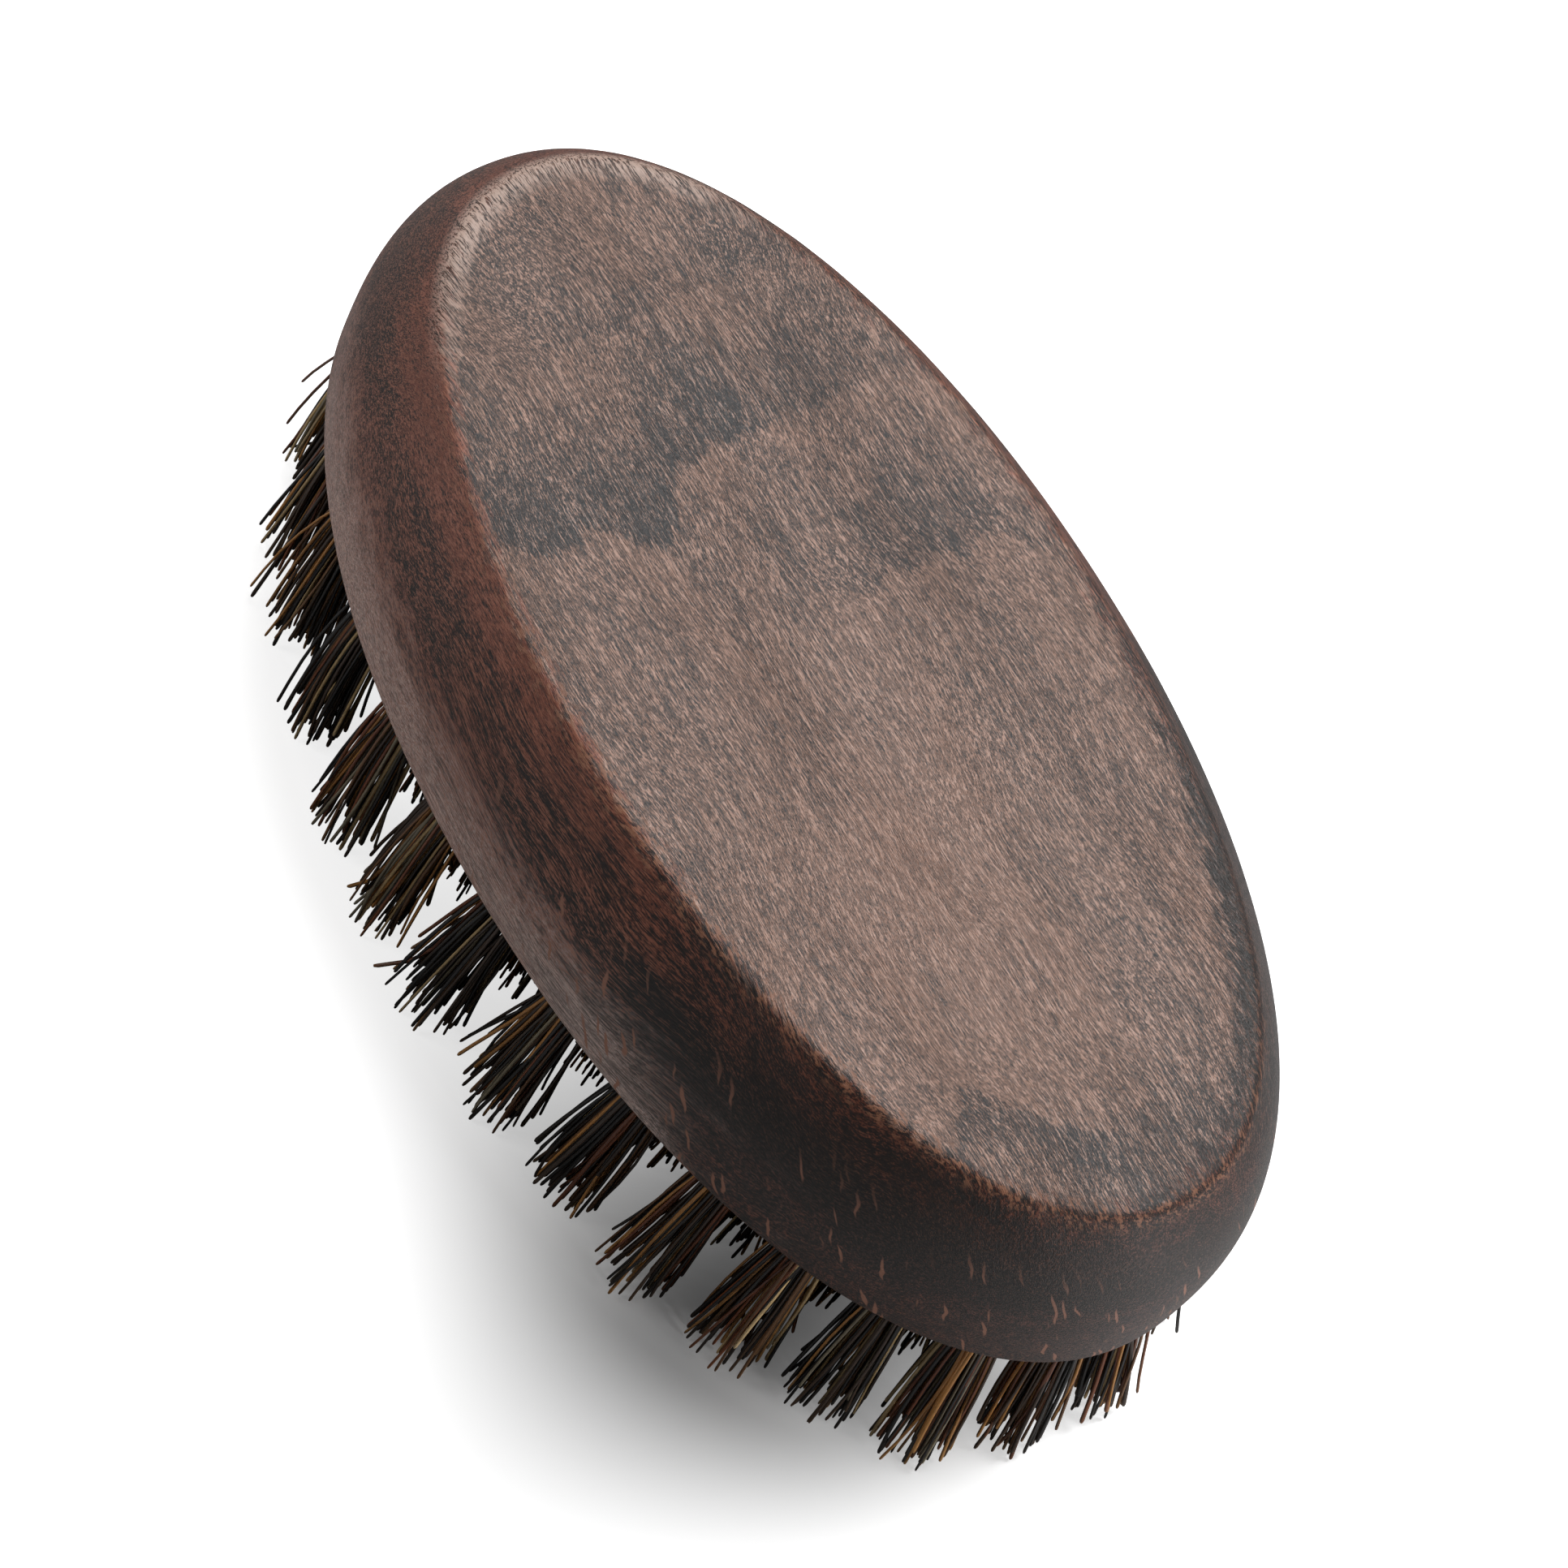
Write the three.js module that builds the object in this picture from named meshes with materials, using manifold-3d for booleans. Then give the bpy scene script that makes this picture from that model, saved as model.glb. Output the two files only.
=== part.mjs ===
// Oval beard brush: a one-piece wooden block with boar-bristle tufts in blind holes.
// Millimetres. Z is up and the bristle tips lie in the plane Z = 0, X runs along the block's length.
// The origin is under the block's centre.

import * as THREE from "three";
import { mergeVertices } from "three/addons/utils/BufferGeometryUtils.js";
import Module from "manifold-3d";

const wasm = await Module();
wasm.setup();

// Driving dimensions
const BLOCK_LENGTH = 100;
const BLOCK_WIDTH = 52.8;
const BLOCK_HEIGHT = 18;
const BRISTLE_HEIGHT = 17; // from the tips up to the block's flat underside

// Block outline and side wall
const OUTLINE_POWER = 2.09; // 2 is a true ellipse, and a little more is fuller at the shoulders
const OUTLINE_SEGMENTS = 72;
const WIDEST_ABOVE_BASE = 1.3;
const RIM_INSET = 0.6; // the underside's edge is this far inside the widest outline
const RIM_STEPS = 3;
const SHOULDER_INSET = 5.3; // the flat top's edge is this far inside the widest outline
const SHOULDER_POWER = 3.2; // how late the side wall turns in towards the top
const SHOULDER_STEPS = 10;
const EDGE_BREAK = 0.5; // the small worn chamfer round the flat top

// Tufts and their holes
const TUFT_SIDES = 10;
const HOLE_RADIUS = 1.95;
const HOLE_DEPTH = 8;
const HOLE_GAP = 0.3; // clearance round a tuft and above its fold
const TIP_RADIUS = 2.45;
const OUTER_RING_INSET = 3.7; // from the widest outline to the outer holes' centres
const RING_SPACING = 6.9;
const THIRD_RING_TUFTS = 18;
const CENTRE_ROW_TUFTS = 7;
const CENTRE_ROW_PITCH = 8;

// Inner tufts are joined at their tips by a low web, so that each row is one closed solid
const WEB_WIDTH = 1.6;
const WEB_HEIGHT = 1;

const OVERCUT = 2; // how far a cutting solid runs past the face that it cuts

const STAINED_BEECH = { color: 0x3d2a24, roughness: 0.55, metalness: 0 };
const BOAR_BRISTLE = { color: 0x1d1713, roughness: 0.6, metalness: 0 };

// A ring's crowding is 0 where its tufts are evenly spaced, and 1 where they bunch up most at the two ends.
// Its phase is 0 with a tuft on the end of the long axis, and 0.5 with a gap there.
const RINGS = {
  outer: { tufts: 30, inset: OUTER_RING_INSET, crowding: 0.5, phase: 0.5, splayDegrees: 15 },
  second: { tufts: 24, inset: OUTER_RING_INSET + RING_SPACING, crowding: 0.4, phase: 0, splayDegrees: 10.5 },
  third: {
    tufts: THIRD_RING_TUFTS,
    inset: OUTER_RING_INSET + 2 * RING_SPACING,
    crowding: 0.2,
    phase: 0.5,
    splayDegrees: 5,
  },
};

const brush = new THREE.Group();

function pairs(list) {
  return list.slice(1).map((item, index) => [list[index], item]);
}

// Solids: three.js geometry to and from manifold-3d

function toSolid(geometry) {
  const bare = geometry.clone();
  bare.deleteAttribute("normal");
  bare.deleteAttribute("uv");
  const merged = mergeVertices(bare, 1e-4);
  const corners = merged.index.array;
  const triangles = [];
  for (let i = 0; i < corners.length; i += 3) {
    const [a, b, c] = corners.slice(i, i + 3);
    if (a !== b && b !== c && c !== a) {
      triangles.push(a, b, c);
    }
  }
  const mesh = new wasm.Mesh({
    numProp: 3,
    vertProperties: new Float32Array(merged.getAttribute("position").array),
    triVerts: new Uint32Array(triangles),
  });
  return new wasm.Manifold(mesh);
}

function toGeometry(solid) {
  const mesh = solid.getMesh();
  const geometry = new THREE.BufferGeometry();
  geometry.setAttribute("position", new THREE.BufferAttribute(mesh.vertProperties, 3));
  geometry.setIndex(new THREE.BufferAttribute(mesh.triVerts, 1));
  geometry.computeVertexNormals();
  return geometry;
}

function addPart(name, solid, finish) {
  const mesh = new THREE.Mesh(toGeometry(solid), new THREE.MeshStandardMaterial(finish));
  mesh.name = name;
  brush.add(mesh);
  return mesh;
}

// Turns a profile of [radius, height] pairs about Z.
function turned(profile, sides) {
  const points = profile.map(([radius, height]) => new THREE.Vector2(radius, height));
  return new THREE.LatheGeometry(points, sides).rotateX(Math.PI / 2);
}

// Block

function superellipse(cosine, halfSize) {
  return halfSize * Math.sign(cosine) * Math.abs(cosine) ** (2 / OUTLINE_POWER);
}

// Side wall, from the underside's edge up to the flat top: [distance inside the widest outline, height].
function wallPoint(rise) {
  if (rise < WIDEST_ABOVE_BASE) {
    return [RIM_INSET * (1 - rise / WIDEST_ABOVE_BASE) ** 2, rise];
  }
  const climbed = (rise - WIDEST_ABOVE_BASE) / (BLOCK_HEIGHT - WIDEST_ABOVE_BASE);
  return [SHOULDER_INSET * climbed ** SHOULDER_POWER, rise];
}

function wallProfile() {
  const points = [];
  for (let step = 0; step < RIM_STEPS; step += 1) {
    points.push(wallPoint((WIDEST_ABOVE_BASE * step) / RIM_STEPS));
  }
  const shoulderTop = BLOCK_HEIGHT - EDGE_BREAK;
  for (let step = 0; step <= SHOULDER_STEPS; step += 1) {
    const share = Math.sin((Math.PI / 2) * (step / SHOULDER_STEPS));
    points.push(wallPoint(WIDEST_ABOVE_BASE + (shoulderTop - WIDEST_ABOVE_BASE) * share));
  }
  points.push([SHOULDER_INSET + EDGE_BREAK, BLOCK_HEIGHT]);
  return points;
}

// A round block of the width is turned first, and each of its circles is then drawn out along X to the oval.
function blockSolid() {
  const halfWidth = BLOCK_WIDTH / 2;
  const drawnOut = (BLOCK_LENGTH - BLOCK_WIDTH) / 2;
  const wall = wallProfile().map(([inset, rise]) => [halfWidth - inset, BRISTLE_HEIGHT + rise]);
  const profile = [[0, BRISTLE_HEIGHT], ...wall, [0, BRISTLE_HEIGHT + BLOCK_HEIGHT]];
  const geometry = turned(profile, OUTLINE_SEGMENTS);
  const position = geometry.getAttribute("position");
  for (let i = 0; i < position.count; i += 1) {
    const radius = Math.hypot(position.getX(i), position.getY(i));
    if (radius > 1e-6) {
      const x = superellipse(position.getX(i) / radius, radius + drawnOut);
      const y = superellipse(position.getY(i) / radius, radius);
      position.setXY(i, x, y);
    }
  }
  return toSolid(geometry);
}

// Tufts, each built at its hole's mouth and leaning towards +X, then turned and carried to its place

function leaning(geometry, splayDegrees) {
  return geometry.rotateY(-THREE.MathUtils.degToRad(splayDegrees)).translate(0, 0, BRISTLE_HEIGHT);
}

function holeSolid(splayDegrees) {
  const profile = [
    [0, -OVERCUT],
    [HOLE_RADIUS, -OVERCUT],
    [HOLE_RADIUS, HOLE_DEPTH],
    [0, HOLE_DEPTH],
  ];
  return toSolid(leaning(turned(profile, TUFT_SIDES), splayDegrees));
}

// The tuft widens evenly from its fold in the hole to its tips, which are trimmed level at Z = 0.
function tuftSolid(splayDegrees) {
  const mouthRadius = HOLE_RADIUS - HOLE_GAP;
  const flare = (TIP_RADIUS - mouthRadius) / BRISTLE_HEIGHT;
  const fold = HOLE_DEPTH - HOLE_GAP;
  const reach = BRISTLE_HEIGHT + 2 * OVERCUT;
  const profile = [
    [0, -reach],
    [mouthRadius + flare * reach, -reach],
    [mouthRadius - flare * fold, fold],
    [0, fold],
  ];
  const trim = new THREE.BoxGeometry(BLOCK_LENGTH, BLOCK_LENGTH, BLOCK_LENGTH);
  const belowTips = toSolid(trim.translate(0, 0, -BLOCK_LENGTH / 2));
  return toSolid(leaning(turned(profile, TUFT_SIDES), splayDegrees)).subtract(belowTips);
}

// Places on an oval ring: a point, and the way that the ring faces there.
function ringPlaces({ tufts, inset, crowding, phase }) {
  const oval = new THREE.EllipseCurve(0, 0, BLOCK_LENGTH / 2 - inset, BLOCK_WIDTH / 2 - inset);
  const places = [];
  for (let index = 0; index < tufts; index += 1) {
    const share = (index + phase) / tufts;
    const t = crowding * share + (1 - crowding) * oval.getUtoTmapping(share);
    const point = oval.getPoint(t);
    const facing = Math.atan2(point.y / oval.yRadius ** 2, point.x / oval.xRadius ** 2);
    places.push({ x: point.x, y: point.y, facing });
  }
  return places;
}

function centreRowPlaces() {
  const places = [];
  for (let index = 0; index < CENTRE_ROW_TUFTS; index += 1) {
    const x = CENTRE_ROW_PITCH * (index - (CENTRE_ROW_TUFTS - 1) / 2);
    places.push({ x, y: 0, facing: 0 });
  }
  return places;
}

function placed(solid, { x, y, facing }) {
  return solid.rotate([0, 0, THREE.MathUtils.radToDeg(facing)]).translate([x, y, 0]);
}

// One named mesh for each tuft of a ring.
function addSeparateTufts(namePrefix, ring) {
  const solid = tuftSolid(ring.splayDegrees);
  ringPlaces(ring).forEach(({ x, y, facing }, index) => {
    const number = String(index + 1).padStart(2, "0");
    const mesh = addPart(`${namePrefix}_${number}`, solid, BOAR_BRISTLE);
    mesh.position.set(x, y, 0);
    mesh.rotation.z = facing;
  });
}

function tipOf({ x, y, facing }, splayDegrees) {
  const lean = BRISTLE_HEIGHT * Math.tan(THREE.MathUtils.degToRad(splayDegrees));
  return new THREE.Vector2(x + lean * Math.cos(facing), y + lean * Math.sin(facing));
}

function webSolid(from, to) {
  const along = to.clone().sub(from);
  const box = new THREE.BoxGeometry(along.length(), WEB_WIDTH, WEB_HEIGHT);
  const middle = from.clone().add(to).multiplyScalar(0.5);
  return toSolid(box.rotateZ(along.angle()).translate(middle.x, middle.y, WEB_HEIGHT / 2));
}

// One named mesh for a whole row of inner tufts.
function addJoinedTufts(name, places, splayDegrees) {
  const tufts = places.map((place) => placed(tuftSolid(splayDegrees), place));
  const tips = places.map((place) => tipOf(place, splayDegrees));
  const webs = pairs(tips).map(([from, to]) => webSolid(from, to));
  const row = [...tufts, ...webs].reduce((joined, next) => joined.add(next));
  addPart(name, row, BOAR_BRISTLE);
}

function drilled(solid, places, splayDegrees) {
  const hole = holeSolid(splayDegrees);
  return places.reduce((left, place) => left.subtract(placed(hole, place)), solid);
}

// Assembly

let block = blockSolid();
for (const ring of Object.values(RINGS)) {
  block = drilled(block, ringPlaces(ring), ring.splayDegrees);
}
block = drilled(block, centreRowPlaces(), 0);
addPart("wood_block", block, STAINED_BEECH);

addSeparateTufts("outer_tuft", RINGS.outer);
addSeparateTufts("second_ring_tuft", RINGS.second);

const thirdRing = ringPlaces(RINGS.third);
const half = THIRD_RING_TUFTS / 2;
addJoinedTufts("third_ring_tufts_left", thirdRing.slice(0, half), RINGS.third.splayDegrees);
addJoinedTufts("third_ring_tufts_right", thirdRing.slice(half), RINGS.third.splayDegrees);
addJoinedTufts("centre_row_tufts", centreRowPlaces(), 0);

export default brush;
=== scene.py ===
"""Oval beard brush: its stained block, boar bristles and wire anchors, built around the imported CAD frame.

Lengths in this file are in millimetres, in the CAD frame, and become metres where Blender is given them.
The bristle tips stand on Z = 0, X runs along the block and the tuft holes open in its flat underside.
"""

import math

import bmesh
import bpy
import numpy as np
from mathutils import Matrix, Vector, noise


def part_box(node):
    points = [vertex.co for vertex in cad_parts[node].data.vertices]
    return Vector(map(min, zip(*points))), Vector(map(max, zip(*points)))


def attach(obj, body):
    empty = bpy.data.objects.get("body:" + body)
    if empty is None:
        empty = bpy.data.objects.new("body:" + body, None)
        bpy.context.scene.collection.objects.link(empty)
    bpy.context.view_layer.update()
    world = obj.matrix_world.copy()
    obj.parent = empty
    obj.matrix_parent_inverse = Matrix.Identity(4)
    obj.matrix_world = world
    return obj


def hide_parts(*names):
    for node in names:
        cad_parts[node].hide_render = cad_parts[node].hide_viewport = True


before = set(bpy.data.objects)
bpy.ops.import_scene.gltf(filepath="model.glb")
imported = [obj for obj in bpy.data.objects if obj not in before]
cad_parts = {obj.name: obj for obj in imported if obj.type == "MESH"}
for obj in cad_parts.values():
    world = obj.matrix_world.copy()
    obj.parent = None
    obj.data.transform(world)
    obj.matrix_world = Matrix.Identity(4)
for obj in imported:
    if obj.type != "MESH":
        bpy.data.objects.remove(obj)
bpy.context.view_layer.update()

METRES = 0.001

# The block's box comes from the CAD node, and its outline and wall are the CAD's own curves, cut finer.
block_low, block_high = (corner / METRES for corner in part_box("wood_block"))
HALF_LENGTH = block_high.x
HALF_WIDTH = block_high.y
UNDERSIDE = block_low.z
TOP = block_high.z
OUTLINE_POWER = 2.09
OUTLINE_POINTS = 360
WIDEST_RISE = 1.3
RIM_INSET = 0.6
RIM_SOFTENING = 0.3
SHOULDER_INSET = 5.3
SHOULDER_POWER = 3.2
ARRIS_DROP = 0.45
RIM_STEPS = 5
WALL_STEPS = 30
ARRIS_STEPS = 8
TOP_STEPS = 22
WEAR_REACH = 3.0
WEAR_DEPTH = 0.09
WEAR_WAVES = (6.0, 1.9)
SHORT_WAVE_SHARE = 0.6
SHORT_WAVE_SHIFT = (7, 3, 1)
WEAR_EVERYWHERE = 0.5
HALVINGS = 30
TINY = 1e-3
SHARP_ON_BLOCK = 40.0

# Tuft rings, as in the CAD: how many tufts, how far inside the widest outline, how bunched at the ends.
RINGS = {
    "outer": {"tufts": 30, "inset": 3.7, "crowding": 0.5, "phase": 0.5, "splay": 15.0},
    "second": {"tufts": 24, "inset": 10.6, "crowding": 0.4, "phase": 0.0, "splay": 10.5},
    "third": {"tufts": 18, "inset": 17.5, "crowding": 0.2, "phase": 0.5, "splay": 5.0},
}
CENTRE_ROW_TUFTS = 7
CENTRE_ROW_PITCH = 8.0
ARC_DIVISIONS = 200
HOLE_RADIUS = 1.95
HOLE_DEPTH = 8.0
HOLE_SIDES = 24
HOLE_OVERCUT = 1.0

# Bristles: each hair is folded in half over its tuft's anchor, so it shows as two legs.
HAIRS_PER_TUFT = 38
HAIR_SIDES = 6
HAIR_RADIUS = (0.12, 0.185)
PACKED_RADIUS = 1.62
TIP_SPREAD = (1.45, 2.1)  # outwards from the oval, and along its rim
LEG_SPREAD = (0.85, 1.1)
LOCKS_PER_TUFT = 6
LOCK_SPREAD = 0.6
LOCK_PULL = 0.25
LOCK_PULL_RANGE = (0.4, 1.0)
PACKING_JITTER = 0.05
TIP_JITTER = 0.30
TUFT_JITTER = 0.4
STRAY_JITTER = 1.8
STRAY_LIMIT = 3
STRAY_SHARE = 0.08
STRAY_LIFT = (0.2, 1.6)
SHORT_SHARE = 0.22
SHORT_LIFT = (0.5, 3.2)
TIP_LIFT = 0.6
BOW = 0.20
OPENING_POWER = 0.92
HOOKED_SHARE = 0.02
HOOKED_BY = 1.0
OTHERS_HOOKED_BY = 0.10
HOOK_FROM = 0.7
TAPER = (0.72, 0.95)
CUT_END = 0.72
FOLD_DEPTH = 6.9
FOLD_RISE = 0.45
LOWEST_TIP = 0.12
RANDOM_SEED = 417

# Where a leg has points: its share of the way from the hole's mouth to the tip, or below 0, up to the fold.
FOLD_SHARE = -0.42
LEG_STATIONS = (FOLD_SHARE, -0.2, 0.0, 0.16, 0.34, 0.52, 0.70, 0.86, 0.985, 1.0)

# The tufts near the -X end are bent a little towards the middle: how far at the tips, and the X range over
# which that grows.
BENT_REACH = 3.0
BENT_FROM = 8.0
BENT_FULLY = -28.0
BEND_POWER = 1.4

ANCHOR_LENGTH = 3.7
ANCHOR_HEIGHT = 1.5
ANCHOR_THICKNESS = 0.35
ANCHOR_CORNER = 0.6
SHARP_ON_ANCHOR = 30.0

# Where a wire has points: how far along its half length, and how much of its thickness it has there.
ANCHOR_STATIONS = ((-1, 0.7), (-0.9, 1), (-0.3, 1), (0.3, 1), (0.9, 1), (1, 0.7))

# Hair colours in linear light: how many hairs in a hundred have each, and the colour it turns at its tip.
HAIR_COLOURS = [
    {"share": 37, "hair": (0.007, 0.006, 0.006), "tip": (0.060, 0.042, 0.030)},
    {"share": 16, "hair": (0.034, 0.019, 0.011), "tip": (0.170, 0.105, 0.058)},
    {"share": 11, "hair": (0.120, 0.056, 0.022), "tip": (0.300, 0.180, 0.090)},
    {"share": 11, "hair": (0.135, 0.040, 0.014), "tip": (0.260, 0.125, 0.052)},
    {"share": 12, "hair": (0.350, 0.160, 0.040), "tip": (0.500, 0.310, 0.140)},
    {"share": 8, "hair": (0.480, 0.340, 0.165), "tip": (0.600, 0.490, 0.330)},
    {"share": 5, "hair": (0.165, 0.140, 0.095), "tip": (0.370, 0.335, 0.255)},
]
PALING_POWER = (3, 14)
PALING = (0.2, 1.0)
HAIR_BRIGHTNESS = (0.85, 1.55)

# Growth layers on the top: where each line crosses the middle, which side of it is dark, how dark and how
# far, the stretch of Y that it shows on (middle, spread), and where it bulges along X. GROWTH_EDGE is how
# far it takes to become fully dark.
GROWTH_EDGE = 0.4
GROWTH_LINES = [
    {"x": -30.5, "dark_side": -1, "strength": 0.26, "fade": 9.0, "y": (8.0, 18.0), "bulges": []},
    {
        "x": -19.0,
        "dark_side": -1,
        "strength": 0.62,
        "fade": 15.0,
        "y": (-9.0, 27.0),
        "bulges": [{"y": (-7.5, 3.4), "reach": 6.0}, {"y": (-14.5, 2.6), "reach": 3.6}],
    },
    {
        "x": -4.6,
        "dark_side": -1,
        "strength": 0.46,
        "fade": 14.0,
        "y": (11.0, 11.0),
        "bulges": [{"y": (-2.5, 3.0), "reach": -5.0}, {"y": (20.0, 4.0), "reach": 2.4}],
    },
    {
        "x": 37.5,
        "dark_side": 1,
        "strength": 0.56,
        "fade": 11.0,
        "y": (-7.0, 8.0),
        "bulges": [{"y": (-10.0, 4.0), "reach": -6.5}],
    },
]

# Broad patches of the top that are darker or, where the palm rubs and a sheen is painted, paler: middle and
# spread on X and Y.
STAIN_AND_SHEEN_PATCHES = [
    # The paler patch towards the near end is partly palm wear and partly a painted sheen.
    {"x": (20.0, 18.0), "y": (-5.0, 9.0), "darker": -0.33},
    {"x": (-2.0, 24.0), "y": (-19.0, 5.0), "darker": 0.20},
    {"x": (2.0, 7.0), "y": (-8.0, 6.0), "darker": 0.08},
    {"x": (-36.0, 14.0), "y": (-2.0, 16.0), "darker": 0.14},
    {"x": (42.0, 8.0), "y": (2.0, 11.0), "darker": 0.27},
]

# Wood colours in linear light.
WOOD_COLOURS = {
    "top": (0.210, 0.118, 0.084),
    "top_stain": (0.014, 0.013, 0.014),
    "bare_top": (0.420, 0.245, 0.180),
    "wall": (0.212, 0.066, 0.039),
    # The wall's dark stain colour also paints shade in a band below the arris.
    "wall_stain_and_shade": (0.008, 0.005, 0.004),
    "bare_wall": (0.380, 0.155, 0.095),
    # The rim's pale colour is partly wear and partly a painted sheen.
    "rubbed_rim_and_sheen": (0.740, 0.570, 0.510),
    "red": (0.110, 0.028, 0.014),
    "ray": (0.330, 0.145, 0.092),
    "rubbed_arris": (0.260, 0.115, 0.065),
    # The far end's pale arris colour is partly wear and partly a painted highlight.
    "worn_and_highlit_arris": (0.500, 0.370, 0.310),
}
WOOD_BUMP = 0.016
NOISE_SPAN = (0.3, 0.7)  # most noise lies in it

# Where things are on the wood. Each pair goes from where something isn't at all to where it is whole.
# Heights are Z, and distances from the arris are positive on the top and negative down the wall.
# The dark band on the wall is painted shade.
PAINTED_SHADE_BAND_HEIGHTS = ((24.5, 28.0), (34.0, 31.0))
UNDER_ARRIS = ((-6.5, -1.2), (0.4, -0.6))
RUBBED_ARRIS = ((-1.7, -0.5), (1.7, 0.3))
# The far end's arris wear and painted highlight.
ARRIS_WEAR_AND_HIGHLIGHT = ((-1.6, 0.2), (2.4, 0.6))
TOP_FROM_ARRIS = (-0.45, 0.9)
RIM_WEAR_AND_SHEEN_HEIGHTS = (28.5, 20.0)
RAY_HEIGHTS = (32.0, 27.0)
NEAR_END_X = (-4.0, 22.0)
FAR_END_STAIN_X = (-30.0, -44.0)
FAR_SIDE_STAIN_Y = (4.0, 18.0)
RIM_X = ((29.0, 15.0), (-46.0, -30.0))
FAINTER_RED_Y = (2.0, 14.0)
RAY_X = (-14.0, 8.0)
MARGIN_X, MARGIN_Y = (-12.0, 36.0), (-16.0, 8.0)
RUB_REACH = (-6.0, 24.0)
ARRIS_WEAR_AND_HIGHLIGHT_X = (-30.0, -42.0)

# Ray flecks on the wall: how far round it one radian carries the pattern, its slant, and its cell.
RAY_WRAP = 38.0
RAY_SLANT = 0.43
RAY_CELL = (0.68, 1.0, 4.2)

# Camera: where it stands round the brush, how far it is turned about its own line of sight, and its aim.
CAMERA_AZIMUTH = 25.214
CAMERA_ELEVATION = 60.0
CAMERA_ROLL = 35.698
CAMERA_DISTANCE = 318.0
CAMERA_LENS = 100.06
SENSOR_WIDTH = 36.0
AIM_ABOVE_UNDERSIDE = 9.0
AIM_RIGHT = -2.007
AIM_UP = -4.718
CLIP_START = 10.0

# Light. To the camera the floor glows, less where a shadow is painted into the glow. To the object it is
# grey, and paler behind the object as painted light, which is measured along a direction on X and Y.
KEY_DIRECTION = (-0.13, 0.433, 0.89)
KEY_WIDTH = 34.0
KEY_STRENGTH = 3.2
ZENITH_LIGHT = 0.55
HORIZON_LIGHT = 0.15
SEEN_SKY = 0.95
ZENITH_FROM = 0.9
FLOOR_GLOW = (0.78, 0.06)
FLOOR_PAINTED_SHADOW = {"x": (32.0, 20.0), "y": (-20.0, 45.0)}
FLOOR_GREY = {"front": (0.33, 0.33, 0.33), "behind": (0.85, 0.85, 0.85)}
BEHIND_ALONG = (0.8, 0.6)
BEHIND_REACH = (42.0, 66.0)
FLOOR_HALF_SIZE = 3000
SOFTBOXES = {
    "left_fill": {"place": (-200, -220, 130), "aim": (-25, -15, 20), "size": 140, "power": 0.18},
    "far_end": {"place": (-300, -10, 60), "aim": (-40, 0, 28), "size": 130, "power": 0.10},
    "right_fill": {"place": (300, 60, 70), "aim": (45, 0, 25), "size": 120, "power": 0.30},
}


# Node building


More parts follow.
